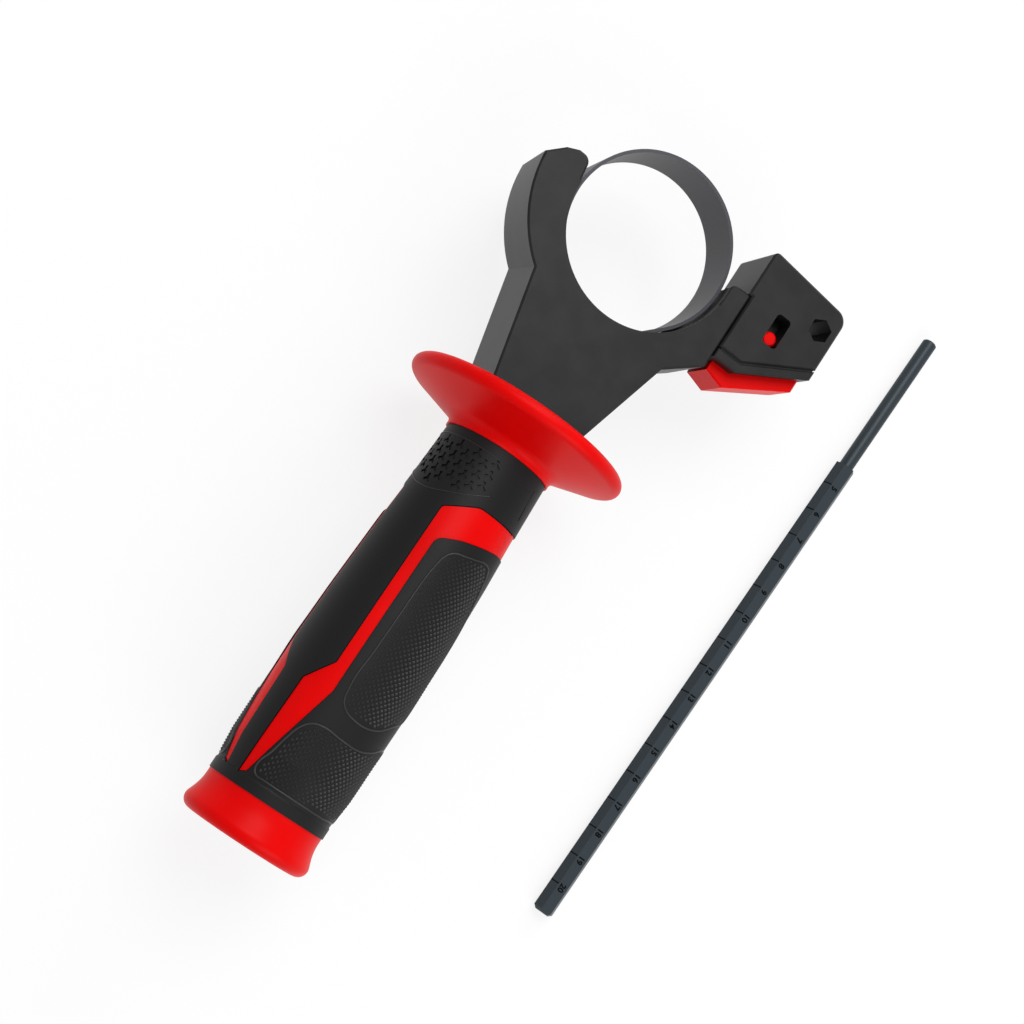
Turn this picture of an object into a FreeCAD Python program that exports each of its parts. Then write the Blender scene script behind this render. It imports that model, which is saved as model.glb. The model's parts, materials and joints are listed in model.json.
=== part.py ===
import FreeCAD, Part
import math
import os
import re
import Sketcher

# Side handle for a drill collar, with a depth gauge block and its loose depth rod.
# The origin is the centre of the clamping ring, half way through its width.
# +Z is the axis of the ring, +Y runs from the grip to the head, +X points to the gauge block.
# Lengths are millimetres and angles are degrees.

os.makedirs("parts", exist_ok=True)
doc = FreeCAD.newDocument("side_handle")
sheet = doc.addObject("Spreadsheet::Sheet", "Sizes")
vector = FreeCAD.Vector
aliases = []
pieces = []


def give_sizes(sizes):
    """Writes each size in a row of the sheet, a number or a formula of other sizes."""
    for alias, size in sizes.items():
        row = len(aliases) + 1
        aliases.append(alias)
        sheet.set("A%d" % row, alias)
        sheet.set("B%d" % row, "=" + size if isinstance(size, str) else str(size))
        sheet.setAlias("B%d" % row, alias)
    doc.recompute()


def bound(formula):
    """The formula with each size's name led by the sheet's name."""
    def named(word):
        return "Sizes." + word.group() if word.group() in aliases else word.group()
    return re.sub(r"[a-z][a-z_]*", named, str(formula))


def value(formula):
    return float(sheet.evalExpression(bound(formula)))


# The ring's band, and how the saddle and the channel stand off from it
give_sizes({
    "band_radius": 25.0,
    "band_thickness": 1.0,
    "band_width": 18.0,
    "band_leg": 4.2,
    "band_leg_length": 12.15,
    "band_bend": 3.0,
    "band_clearance": 0.4,
    "saddle_gap": 0.6,
    "channel_gap": 2.2,
    "saddle_radius": "band_radius + band_thickness + saddle_gap",
    "channel_radius": "band_radius + band_thickness + channel_gap",
    "band_leg_end": "band_radius * sqrt(2) + band_leg_length",
})
# The bolt that draws the band, its rivet and its travel; one turn moves it by the thread's pitch
give_sizes({
    "bolt_radius": 4.0,
    "bolt_clearance": 0.4,
    "bolt_block_depth": 9.0,
    "bolt_block_length": 10.9,
    "rivet_radius": 2.0,
    "rivet_head_radius": 3.4,
    "rivet_head_height": 1.2,
    "rivet_edge": 5.5,
    "running_gap": 0.08,
    "travel_up": 2.5,
    "travel_down": 1.875,
    "shaft_gap": 1.1,
    "rivet_depth": "band_leg_end - rivet_edge",
    "shaft_half": "band_leg + band_thickness + rivet_head_height + band_clearance",
    "shaft_floor": "band_leg_end + travel_down + shaft_gap",
    "bridge_distance": "band_radius - travel_up / sqrt(2) - band_clearance",
})
# The fork: reaches from the ring's centre to its arms' sides, kinks and tips, and its foot
give_sizes({
    "head_depth": 28.4,
    "edge_round": 0.6,
    "left_arm": 13.3,
    "left_bevel": 4.6,
    "left_shoulder": 5.3,
    "left_tip": 6.9,
    "left_tip_round": 2.6,
    "left_side_bulge": 12.9,
    "left_side_draft": 3.2,
    "left_kink_in": 2.4,
    "left_kink_drop": 1.2,
    "right_arm": 6.3,
    "right_tip": 4.0,
    "right_tip_round": 2.4,
    "right_corner_in": 5.6,
    "right_corner_round": 1.6,
    "right_kink_in": 3.9,
    "right_kink_drop": 2.7,
    "foot_left": 16.1,
    "foot_right": 13.4,
    "foot_thickness": 11.5,
    "left_reach": "saddle_radius + left_arm",
    "right_reach": "saddle_radius + right_arm",
    "foot_depth": "shaft_floor + foot_thickness",
})
# The washer, the nut and its retainer
give_sizes({
    "washer_thickness": 1.6,
    "washer_radius": 10.0,
    "nut_flats": 13.0,
    "nut_height": 6.5,
    "nut_drop": 30.0,
    "bolt_past_nut": 13.5,
    "retainer_height": 3.0,
    "nut_top": "foot_depth + nut_drop",
    "bolt_end": "nut_top + nut_height + bolt_past_nut",
    "washer_seat": "foot_depth + washer_thickness + running_gap",
})
# The grip: radii, with lengths from the foot to the flange and from the neck's end to the rest
give_sizes({
    "flange_radius": 34.9,
    "flange_drop": 2.6,
    "rim_round": 2.4,
    "flange_dish": 1.4,
    "neck_radius": 16.9,
    "neck_blend": 1.2,
    "flange_skirt_drop": 10.4,
    "neck_drop": 13.0,
    "collar_radius": 16.4,
    "collar_length": 18.0,
    "collar_end_radius": 17.2,
    "waist_length": 33.0,
    "waist_radius": 18.1,
    "belly_length": 56.0,
    "belly_radius": 19.0,
    "swell_length": 72.0,
    "swell_radius": 19.3,
    "tail_length": 103.0,
    "tail_radius": 19.0,
    "lip_length": 111.5,
    "lip_radius": 18.2,
    "lip_swell": 0.3,
    "lip_step": 0.6,
    "grip_length": 115.3,
    "core_radius": 13.2,
    "inlay_root": 3.0,
    "core_bore_radius": 9.2,
    "bolt_room": 1.0,
    "washer_room": 0.6,
    "nut_room": 0.2,
    "flange_shoulder": 5.8,
    "flange_depth": "foot_depth + flange_drop",
    "flange_skirt_depth": "foot_depth + flange_skirt_drop",
    "neck_depth": "foot_depth + neck_drop",
    "collar_end": "neck_depth + collar_length",
    "waist_depth": "neck_depth + waist_length",
    "belly_depth": "neck_depth + belly_length",
    "swell_depth": "neck_depth + swell_length",
    "tail_depth": "neck_depth + tail_length",
    "lip_depth": "neck_depth + lip_length",
    "grip_end": "neck_depth + grip_length",
})
# The red inlays: angles about the grip's axis from the ring's axis, places along it from the neck's
# end, and widths from a plane through the axis
give_sizes({
    "palm_angle": -59.0,
    "inlay_angle": 37.0,
    "frame_overlap": 117.0,
    "inlay_recess": 0.35,
    "inlay_gap": 0.25,
    "frame_start": 16.6,
    "frame_height": 7.9,
    "frame_bevel_width": 6.7,
    "frame_bevel_height": 5.8,
    "frame_crown": 0.5,
    "frame_round": 4.0,
    "frame_corner_round": 1.5,
    "stripe_outer": 2.45,
    "stripe_inner": 1.5,
    "stripe_shoulder": 30.9,
    "stripe_fillet": 3.0,
    "stripe_fan_width": 7.4,
    "stripe_fan_height": 2.9,
    "blade_start": 73.8,
    "blade_wide": 81.8,
    "blade_reach": 8.0,
    "blade_lean": 0.7,
    "blade_back": 81.0,
    "blade_tip": 112.2,
    "blade_tip_width": 2.3,
    "blade_tip_rise": 1.2,
    "frame_top": "neck_depth + frame_start",
    "frame_bottom": "frame_top + frame_height",
})
# The cap on the grip's end
give_sizes({
    "cap_top_radius": 18.2,
    "cap_rim_radius": 19.9,
    "cap_flare_height": 9.4,
    "cap_rim_round": 3.0,
    "cap_ledge": 1.6,
    "cap_dish": 0.8,
    "cap_spigot_radius": 9.1,
    "cap_spigot_length": 9.0,
    "cap_wall": 2.0,
    "cap_rim_depth": "grip_end + cap_flare_height",
    "cap_end": "cap_rim_depth + cap_rim_round",
})
# The gauge block: widths from the right arm's side, heights from the ring's centre
give_sizes({
    "block_depth": 25.2,
    "block_width": 28.6,
    "block_joint": 0.35,
    "block_lip": 0.8,
    "block_lip_gap": 0.3,
    "block_top_left": 19.7,
    "block_apex_round": 1.6,
    "block_top_right": 16.7,
    "block_corner_round": 4.0,
    "block_kink": 8.4,
    "seam_drop": 13.4,
    "seam_gap": 0.5,
    "seam_inset": 0.8,
    "skirt_edge": 0.35,
    "skirt_height": 3.5,
    "block_slope": 30.0,
    "end_wall": 0.9,
    "tongue_root": 5.0,
    "tongue_tip": 7.0,
    "tongue_height": 3.0,
    "tongue_drop": 3.0,
    "tongue_stop": 5.2,
    "tongue_clearance": 0.1,
    "block_side": "right_reach + block_joint",
    "block_end": "right_reach + block_width",
    "block_centre": "(head_depth - block_depth) / 2",
})
# The hex bore for the rod, the lock button with its peg and slot, the spring's bore and the pawl
give_sizes({
    "hex_across": 6.4,
    "hex_reach": 23.1,
    "hex_height": 8.6,
    "button_depth": 15.4,
    "button_left": 2.2,
    "button_foot": 6.4,
    "button_kink": 8.8,
    "button_kink_drop": 8.2,
    "button_slope": 32.0,
    "button_top_gap": 0.6,
    "button_travel": 4.0,
    "button_clearance": 0.25,
    "button_round": 0.5,
    "web_depth": 9.2,
    "web_left": 7.6,
    "web_top": 11.0,
    "web_right": 16.6,
    "web_clearance": 0.3,
    "web_headroom": 0.5,
    "ramp_ratio": 0.2,
    "peg_reach": 12.2,
    "peg_drop": 2.2,
    "peg_radius": 2.2,
    "peg_recess": 1.8,
    "slot_width": 4.9,
    "slot_drop": 4.6,
    "slot_top": 5.2,
    "slot_round": 1.2,
    "pawl_bottom": 5.6,
    "pawl_height": 5.6,
    "pawl_depth": 6.0,
    "pawl_reach": 0.4,
    "pawl_gap": 0.1,
    "spring_seat": 3.0,
    "spring_bore": 3.3,
    "spring_reach": 11.9,
    "well_left": "right_reach + button_left - button_clearance",
    "well_right": "block_end - end_wall",
    "button_right": "block_end - end_wall - button_clearance",
    "well_roof": "-seam_drop - button_top_gap + button_travel + button_clearance",
    "web_ceiling": "web_top + button_travel + web_headroom",
    "peg_centre": "right_reach + peg_reach",
})
# The depth rod, which lies beside the handle on the surface that the flange's rim touches
give_sizes({
    "rod_across": 6.0,
    "rod_length": 217.8,
    "rod_tip_radius": 2.35,
    "rod_tip_length": 50.0,
    "rod_chamfer": 0.9,
    "rod_aside": 35.5,
    "rod_short_of_grip": 17.0,
    "rod_turn": 2.18,
})


def origin_plane(body, role):
    return [feature for feature in body.Origin.OriginFeatures if feature.Role == role][0]


def new_body(label):
    body = doc.addObject("PartDesign::Body", label)
    body.Label = label
    pieces.append(body)
    return body


def sketch_in(body, name, role="XY_Plane"):
    sketch = body.newObject("Sketcher::SketchObject", name)
    sketch.AttachmentSupport = (origin_plane(body, role), "")
    sketch.MapMode = "FlatFace"
    return sketch


def free_sketch(name, turn=None):
    """A sketch outside any body, its plane turned about the grip's axis."""
    sketch = doc.addObject("Sketcher::SketchObject", name)
    if turn is not None:
        sketch.Placement = FreeCAD.Placement(vector(), FreeCAD.Rotation(vector(0, 1, 0), 1))
        sketch.setExpression(".Placement.Rotation.Angle", bound(turn))
    return sketch


def fix(sketch, geometry, end, x, y):
    """Holds one point of a sketch at two formulas."""
    point = sketch.getPoint(geometry, end)
    for kind, place, formula in (("DistanceX", point.x, x), ("DistanceY", point.y, y)):
        index = sketch.addConstraint(Sketcher.Constraint(kind, -1, 1, geometry, end, place))
        sketch.setExpression("Constraints[%d]" % index, bound(formula))


def hold_radius(sketch, arc, formula):
    index = sketch.addConstraint(Sketcher.Constraint("Radius", arc, value(formula)))
    sketch.setExpression("Constraints[%d]" % index, bound(formula))


def arc_between(start, end, radius, turn):
    """An arc from start to end that turns left where turn is 1 and right where it is -1."""
    middle = (start + end) * 0.5
    chord = end - start
    half = chord.Length / 2
    height = math.sqrt(max(radius * radius - half * half, 0.0))
    left = vector(-chord.y, chord.x, 0).normalize()
    centre = middle + left * (height * turn)
    first, last = (start, end) if turn > 0 else (end, start)
    start_angle = math.atan2(first.y - centre.y, first.x - centre.x)
    end_angle = math.atan2(last.y - centre.y, last.x - centre.x)
    while end_angle < start_angle:
        end_angle += 2 * math.pi
    return Part.ArcOfCircle(Part.Circle(centre, vector(0, 0, 1), radius), start_angle, end_angle)


def corner_ends(before, corner, after, radius):
    """Where a round of this radius leaves the two straight sides of a corner."""
    back = (before - corner).normalize()
    ahead = (after - corner).normalize()
    reach = radius / math.tan(math.acos(max(-1.0, min(1.0, back.dot(ahead)))) / 2)
    return corner + back * reach, corner + ahead * reach


def outline(sketch, corners):
    """A closed outline through corners held by formulas.

    A corner is (x, y), (x, y, "round", radius) for a rounded corner, or
    (x, y, "arc", radius, turn) where the side that starts there is an arc.
    """
    count = len(corners)
    points = [vector(value(corner[0]), value(corner[1]), 0) for corner in corners]
    starts, ends = list(points), list(points)
    for i, corner in enumerate(corners):
        if len(corner) == 4:
            neighbours = points[i - 1], points[(i + 1) % count]
            ends[i], starts[i] = corner_ends(neighbours[0], points[i], neighbours[1], value(corner[3]))
    sides = []
    for i, corner in enumerate(corners):
        start, end = starts[i], ends[(i + 1) % count]
        if len(corner) == 5:
            side = sketch.addGeometry(arc_between(start, end, value(corner[3]), corner[4]), False)
            sides.append((side, 1, 2) if corner[4] > 0 else (side, 2, 1))
        else:
            sides.append((sketch.addGeometry(Part.LineSegment(start, end), False), 1, 2))
    for i, corner in enumerate(corners):
        before, side = sides[i - 1], sides[i]
        if len(corner) == 4:
            back = (points[i - 1] - points[i]).normalize()
            ahead = (points[(i + 1) % count] - points[i]).normalize()
            turn = 1 if back.cross(ahead).z < 0 else -1
            arc = sketch.addGeometry(arc_between(ends[i], starts[i], value(corner[3]), turn), False)
            first, last = (1, 2) if turn > 0 else (2, 1)
            sketch.addConstraint(Sketcher.Constraint("Tangent", before[0], before[2], arc, first))
            sketch.addConstraint(Sketcher.Constraint("Tangent", arc, last, side[0], side[1]))
            hold_radius(sketch, arc, corner[3])
            tip = sketch.addGeometry(Part.Point(points[i]), True)
            sketch.addConstraint(Sketcher.Constraint("PointOnObject", tip, 1, before[0]))
            sketch.addConstraint(Sketcher.Constraint("PointOnObject", tip, 1, side[0]))
            fix(sketch, tip, 1, corner[0], corner[1])
        else:
            sketch.addConstraint(Sketcher.Constraint("Coincident", before[0], before[2], side[0], side[1]))
            fix(sketch, side[0], side[1], corner[0], corner[1])
        if len(corner) == 5:
            hold_radius(sketch, side[0], corner[3])
    return sketch


def circle(sketch, x, y, radius):
    ring = sketch.addGeometry(Part.Circle(vector(value(x), value(y), 0), vector(0, 0, 1), value(radius)), False)
    fix(sketch, ring, 3, x, y)
    hold_radius(sketch, ring, radius)
    return sketch


def rectangle(sketch, left, bottom, right, top):
    return outline(sketch, [(left, bottom), (right, bottom), (right, top), (left, top)])


def pad(body, sketch, length, midplane=True, reverse=False):
    feature = body.newObject("PartDesign::Pad", sketch.Name + "_pad")
    feature.Profile = sketch
    feature.Midplane = midplane
    feature.Reversed = reverse
    feature.setExpression("Length", bound(length))
    return feature


def pocket(body, sketch, length, midplane=True, reverse=False):
    feature = body.newObject("PartDesign::Pocket", sketch.Name + "_pocket")
    feature.Profile = sketch
    feature.Midplane = midplane
    feature.Reversed = reverse
    feature.setExpression("Length", bound(length))
    return feature


def turn_about(body, sketch, axis="V_Axis", kind="PartDesign::Revolution"):
    feature = body.newObject(kind, sketch.Name + "_turned")
    feature.Profile = sketch
    feature.ReferenceAxis = (sketch, [axis])
    feature.Angle = 360.0
    return feature


def shift_sketch(sketch, distance):
    """Moves a sketch along the normal of the plane that it lies on."""
    sketch.setExpression(".AttachmentOffset.Base.z", bound(distance))


def edges_where(shape, test):
    """The names of the edges whose middle point passes a test."""
    names = []
    for number, edge in enumerate(shape.Edges, 1):
        middle = edge.valueAt((edge.FirstParameter + edge.LastParameter) / 2)
        if test(middle, edge):
            names.append("Edge%d" % number)
    return names


def faces_where(shape, test):
    """The names of the faces whose centre passes a test."""
    return ["Face%d" % number for number, face in enumerate(shape.Faces, 1) if test(face.CenterOfMass, face)]


def dress(body, kind, base, names, size):
    feature = body.newObject("PartDesign::" + kind, body.Name + "_" + kind.lower() + "_" + base.Name)
    feature.Base = (base, names)
    feature.setExpression("Radius" if kind == "Fillet" else "Size", bound(size))
    return feature


# The fork: two arms round the saddle on a stem, with a channel between its cheeks for the band
def clamp_head():
    body = new_body("clamp_head")
    form = outline(sketch_in(body, "head_outline"), [
        ("-foot_left", "-foot_depth"),
        ("foot_right", "-foot_depth"),
        ("saddle_radius - right_kink_in", "-saddle_radius - right_kink_drop"),
        ("right_reach", "-saddle_radius + right_corner_in", "round", "right_corner_round"),
        ("right_reach", "right_tip"),
        ("saddle_radius - edge_round / 2", "right_tip", "round", "right_tip_round"),
        ("saddle_radius - edge_round / 2", "-right_tip"),
        ("0", "-right_tip"),
        ("-saddle_radius - edge_round / 2", "0"),
        ("-saddle_radius - left_tip_round / 2", "left_tip", "round", "left_tip_round"),
        ("-saddle_radius - 2 * left_tip_round", "left_tip"),
        ("-left_reach + left_bevel", "left_shoulder"),
        ("-left_reach", "edge_round", "arc", "saddle_radius + left_side_bulge", 1),
        ("-saddle_radius + left_kink_in", "-saddle_radius - left_kink_drop"),
    ])
    stock = pad(body, form, "head_depth")
    doc.recompute()
    half = value("head_depth") / 2
    front = faces_where(stock.Shape, lambda p, f: abs(p.z - half) < 0.01)
    bulge = value("saddle_radius + left_side_bulge")
    side = faces_where(stock.Shape, lambda p, f: f.Surface.TypeId == "Part::GeomCylinder"
                       and abs(f.Surface.Radius - bulge) < 0.01)
    leaning = body.newObject("PartDesign::Draft", "left_side_lean")
    leaning.Base = (stock, side)
    leaning.NeutralPlane = (stock, front)
    leaning.Reversed = True
    leaning.setExpression("Angle", bound("left_side_draft"))
    doc.recompute()
    rims = edges_where(leaning.Shape, lambda p, e: abs(abs(p.z) - half) < 0.01)
    rims = [name for name in rims if not inner_edge(leaning.Shape, name)]
    dress(body, "Chamfer", leaning, rims, "edge_round")
    doc.recompute()
    saddle = circle(sketch_in(body, "saddle"), "0", "0", "saddle_radius")
    pocket(body, saddle, "head_depth + 2")
    channel = circle(sketch_in(body, "channel"), "0", "0", "channel_radius")
    pocket(body, channel, "band_width + 2 * band_clearance")
    # The band's two legs close in on the bolt between straight walls, below a bridge that ends the saddle
    legs = outline(sketch_in(body, "leg_slots"), [
        ("-channel_radius / sqrt(2)", "-channel_radius / sqrt(2)"),
        ("-shaft_half", "-channel_radius * sqrt(2) + shaft_half"),
        ("-shaft_half", "-shaft_floor"),
        ("shaft_half", "-shaft_floor"),
        ("shaft_half", "-channel_radius * sqrt(2) + shaft_half"),
        ("channel_radius / sqrt(2)", "-channel_radius / sqrt(2)"),
        ("bridge_distance / sqrt(2)", "-bridge_distance / sqrt(2)"),
        ("0", "-bridge_distance * sqrt(2)"),
        ("-bridge_distance / sqrt(2)", "-bridge_distance / sqrt(2)"),
    ])
    pocket(body, legs, "band_width + 2 * band_clearance")
    # The bolt's bore through the foot
    bore = circle(sketch_in(body, "bolt_bore", "XZ_Plane"), "0", "0", "bolt_radius + bolt_clearance")
    shift_sketch(bore, "shaft_floor - 1")
    pocket(body, bore, "foot_depth - shaft_floor + 2", midplane=False, reverse=True)
    # The dovetail that carries the gauge block, blind at the front
    tongue = outline(sketch_in(body, "tongue"), [
        ("right_reach - 1", "-tongue_drop - tongue_root / 2"),
        ("right_reach", "-tongue_drop - tongue_root / 2"),
        ("right_reach + tongue_height", "-tongue_drop - tongue_tip / 2"),
        ("right_reach + tongue_height", "-tongue_drop + tongue_tip / 2"),
        ("right_reach", "-tongue_drop + tongue_root / 2"),
        ("right_reach - 1", "-tongue_drop + tongue_root / 2"),
    ])
    shift_sketch(tongue, "head_depth / 2 - block_depth")
    pad(body, tongue, "block_depth - tongue_stop", midplane=False)
    return body


def inner_edge(shape, name):
    """Whether an edge of the fork's blank lies inside the saddle that is cut later."""
    edge = shape.getElement(name)
    middle = edge.valueAt((edge.FirstParameter + edge.LastParameter) / 2)
    reach = value("saddle_radius")
    inside = math.hypot(middle.x, middle.y) < reach - 0.05
    touches = min(math.hypot(v.X, v.Y) for v in edge.Vertexes) < reach - 0.6
    return inside or touches


# The steel band: three quarters of a circle, then two legs that run in to the bolt
def strap_band():
    body = new_body("strap_band")
    outer, inner = "(band_radius + band_thickness)", "band_radius"
    leg_outer, leg_inner = "(band_leg + band_thickness)", "band_leg"
    profile = outline(sketch_in(body, "band_profile"), [
        (outer + " / sqrt(2)", "-" + outer + " / sqrt(2)", "arc", outer, 1),
        ("0", outer, "arc", outer, 1),
        ("-" + outer + " / sqrt(2)", "-" + outer + " / sqrt(2)"),
        ("-" + leg_outer, "-" + outer + " * sqrt(2) + " + leg_outer, "round", "band_bend"),
        ("-" + leg_outer, "-band_leg_end"),
        ("-" + leg_inner, "-band_leg_end"),
        ("-" + leg_inner, "-" + inner + " * sqrt(2) + " + leg_inner, "round", "band_bend + band_thickness"),
        ("-" + inner + " / sqrt(2)", "-" + inner + " / sqrt(2)", "arc", inner, -1),
        ("0", inner, "arc", inner, -1),
        (inner + " / sqrt(2)", "-" + inner + " / sqrt(2)"),
        (leg_inner, "-" + inner + " * sqrt(2) + " + leg_inner, "round", "band_bend + band_thickness"),
        (leg_inner, "-band_leg_end"),
        (leg_outer, "-band_leg_end"),
        (leg_outer, "-" + outer + " * sqrt(2) + " + leg_outer, "round", "band_bend"),
    ])
    pad(body, profile, "band_width")
    hole = circle(sketch_in(body, "rivet_holes", "YZ_Plane"), "-rivet_depth", "0", "rivet_radius + running_gap / 2")
    pocket(body, hole, "4 * band_leg + 4 * band_thickness")
    return body


# The rivet through both legs and the bolt's block, with a head on each side
def band_rivet():
    body = new_body("band_rivet")
    reach = "(band_leg + band_thickness)"
    profile = outline(sketch_in(body, "rivet_profile"), [
        ("-" + reach + " - rivet_head_height", "-rivet_depth"),
        (reach + " + rivet_head_height", "-rivet_depth"),
        (reach + " + rivet_head_height", "-rivet_depth + rivet_head_radius"),
        (reach, "-rivet_depth + rivet_head_radius"),
        (reach, "-rivet_depth + rivet_radius"),
        ("-" + reach, "-rivet_depth + rivet_radius"),
        ("-" + reach, "-rivet_depth + rivet_head_radius"),
        ("-" + reach + " - rivet_head_height", "-rivet_depth + rivet_head_radius"),
    ])
    feature = body.newObject("PartDesign::Revolution", "rivet_turned")
    feature.Profile = profile
    feature.ReferenceAxis = (profile, ["Edge1"])
    feature.Angle = 360.0
    return body


# The bolt: a flat block between the band's legs on a threaded shank
def draw_bolt():
    body = new_body("draw_bolt")
    block = rectangle(sketch_in(body, "bolt_block"), "-band_leg", "-band_leg_end",
                      "band_leg", "-band_leg_end + bolt_block_length")
    pad(body, block, "bolt_block_depth")
    shank = circle(sketch_in(body, "bolt_shank", "XZ_Plane"), "0", "0", "bolt_radius")
    shift_sketch(shank, "band_leg_end - 1")
    stem = pad(body, shank, "bolt_end - band_leg_end + 1", midplane=False)
    doc.recompute()
    end = value("bolt_end")
    tip = edges_where(stem.Shape, lambda p, e: abs(p.y + end) < 0.01)
    dress(body, "Chamfer", stem, tip, "bolt_radius / 5")
    hole = circle(sketch_in(body, "bolt_rivet_hole", "YZ_Plane"), "-rivet_depth", "0", "rivet_radius + running_gap / 2")
    pocket(body, hole, "4 * band_leg")
    return body


def ring(label, outer, inner, top, height):
    """A flat ring about the grip's axis."""
    body = new_body(label)
    profile = sketch_in(body, label + "_profile")
    rectangle(profile, inner, "-(%s) - (%s)" % (top, height), outer, "-(%s)" % top)
    turn_about(body, profile)
    return body


def hexagon(sketch, across, x="0", y="0", point_up=True):
    """A hexagon held by its width across flats."""
    reach = "(%s) / sqrt(3)" % across
    first = 90 if point_up else 0
    corners = []
    for step in range(6):
        angle = first + 60 * step
        corners.append(("%s + %s * cos(%d)" % (x, reach, angle), "%s + %s * sin(%d)" % (y, reach, angle)))
    return outline(sketch, corners)


def grip_nut():
    body = new_body("grip_nut")
    flats = hexagon(sketch_in(body, "nut_flats_outline", "XZ_Plane"), "nut_flats")
    shift_sketch(flats, "nut_top")
    pad(body, flats, "nut_height", midplane=False)
    thread = circle(sketch_in(body, "nut_thread", "XZ_Plane"), "0", "0", "bolt_radius + running_gap")
    shift_sketch(thread, "nut_top - 1")
    pocket(body, thread, "nut_height + 2", midplane=False, reverse=True)
    return body


def banded_round(centre_x, centre_y, radius, first, last, bands):
    """Corners of a turned profile's round, cut in straight bands to keep its facets few."""
    step = (last - first) / bands
    angles = [first + step * i for i in range(bands + 1)]
    return [("%s + %s * cos(%.2f)" % (centre_x, radius, angle), "%s + %s * sin(%.2f)" % (centre_y, radius, angle))
            for angle in angles]


# The grip's outer form below the neck, with a radius taken off all over
def grip_profile(name, inset, inner):
    return outline(free_sketch(name), [
        (inner, "-neck_depth"),
        ("collar_radius - " + inset, "-neck_depth"),
        ("collar_end_radius - " + inset, "-collar_end"),
        ("waist_radius - " + inset, "-waist_depth"),
        ("belly_radius - " + inset, "-belly_depth"),
        ("swell_radius - " + inset, "-swell_depth"),
        ("tail_radius - " + inset, "-tail_depth"),
        ("lip_radius - " + inset, "-lip_depth"),
        ("lip_radius + lip_swell - " + inset, "-lip_depth - lip_step"),
        ("lip_radius + lip_swell - " + inset, "-grip_end"),
        (inner, "-grip_end"),
    ])


def turned(label, sketch, angle="360"):
    feature = doc.addObject("Part::Revolution", label)
    feature.Source = sketch
    feature.Axis = vector(0, 1, 0)
    feature.Solid = True
    feature.setExpression("Angle", bound(angle))
    return feature


# One inlay window: a frame corner, a stripe down the grip and a blade at its end
def inlay_outline(name, side):
    turn = "palm_angle + %d * inlay_angle" % side
    neck = "-neck_depth - "
    corners = [
        ("-stripe_outer", "-frame_top - frame_bevel_height", "round", "frame_corner_round"),
        ("frame_bevel_width", "-frame_top - frame_crown", "round", "frame_round"),
        ("flange_radius", "-frame_top"),
        ("flange_radius", "-frame_bottom"),
        ("collar_end_radius", "-frame_bottom"),
        ("stripe_fan_width", neck + "stripe_shoulder + stripe_fan_height"),
        ("stripe_inner", neck + "stripe_shoulder", "round", "stripe_fillet"),
        ("stripe_inner", neck + "blade_back"),
        ("-blade_reach - blade_lean + blade_tip_width", neck + "blade_tip + blade_tip_rise"),
        ("-blade_reach - blade_lean", neck + "blade_tip"),
        ("-blade_reach", neck + "blade_wide"),
        ("-stripe_outer", neck + "blade_start"),
    ]
    if side < 0:
        corners = [("-(%s)" % corner[0],) + corner[1:] for corner in reversed(corners)]
    return outline(free_sketch(name, turn), corners)


def window_forms(name, shrink):
    """The inlays' windows as solids that reach from inside the grip to outside it."""
    forms = []
    for side in (1, -1):
        sketch = inlay_outline("%s_outline_%s" % (name, "right" if side > 0 else "left"), side)
        base = sketch
        if shrink:
            base = doc.addObject("Part::Offset2D", "%s_inset_%d" % (name, 2 + side))
            base.Source = sketch
            base.Mode = "Pipe"
            base.Join = "Intersection"
            base.setExpression("Value", bound("-" + shrink))
        doc.recompute()
        window = doc.addObject("Part::Extrusion", "%s_side_%d" % (name, 2 + side))
        window.Base = base
        window.DirMode = "Normal"
        # An inset outline faces the other way than the sketch that it was made from
        window.Reversed = base is not sketch
        window.Solid = True
        window.FaceMakerClass = "Part::FaceMakerBullseye"
        window.setExpression("LengthFwd", bound("flange_radius"))
        forms.append(window)
    edge = shrink or "0"
    hoop = rectangle(free_sketch(name + "_hoop_outline", "palm_angle + frame_overlap - 90"),
                     "core_radius - inlay_root", "-frame_bottom + " + edge,
                     "flange_radius", "-frame_top - " + edge)
    frame = turned(name + "_hoop", hoop, "360 - 2 * frame_overlap")
    forms.append(frame)
    return forms


# The red core: flange, neck and tube, with the inlays raised on it
def grip_core():
    tube = outline(free_sketch("core_profile"), [
        ("bolt_radius + bolt_room", "-washer_seat"),
        ("washer_radius + washer_room", "-washer_seat"),
        ("washer_radius + washer_room", "-foot_depth - flange_dish"),
        ("flange_radius - flange_shoulder", "-foot_depth - flange_dish"),
        *banded_round("flange_radius - rim_round", "-flange_depth", "rim_round", 90, -90, 4),
        ("neck_radius + neck_blend", "-flange_skirt_depth + neck_blend / 3"),
        ("neck_radius", "-flange_skirt_depth - neck_blend"),
        ("neck_radius", "-neck_depth"),
        ("core_radius", "-neck_depth"),
        ("core_radius", "-grip_end"),
        ("core_bore_radius", "-grip_end"),
        ("core_bore_radius", "-nut_top - nut_height - retainer_height"),
        ("nut_flats / sqrt(3) + nut_room", "-nut_top - nut_height - retainer_height"),
        ("nut_flats / sqrt(3) + nut_room", "-nut_top"),
        ("bolt_radius + bolt_room", "-nut_top"),
    ])
    stock = turned("core_stock", tube)
    raised = turned("inlay_stock", grip_profile("inlay_profile", "inlay_recess", "core_radius - inlay_root"))
    windows = doc.addObject("Part::MultiFuse", "inlay_windows")
    windows.Shapes = window_forms("inlay", "inlay_gap")
    inlays = doc.addObject("Part::Common", "inlays")
    inlays.Base = raised
    inlays.Tool = windows
    core = doc.addObject("Part::Fuse", "grip_core")
    core.Base = stock
    core.Tool = inlays
    core.Label = "grip_core"
    pieces.append(core)
    return core


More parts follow.
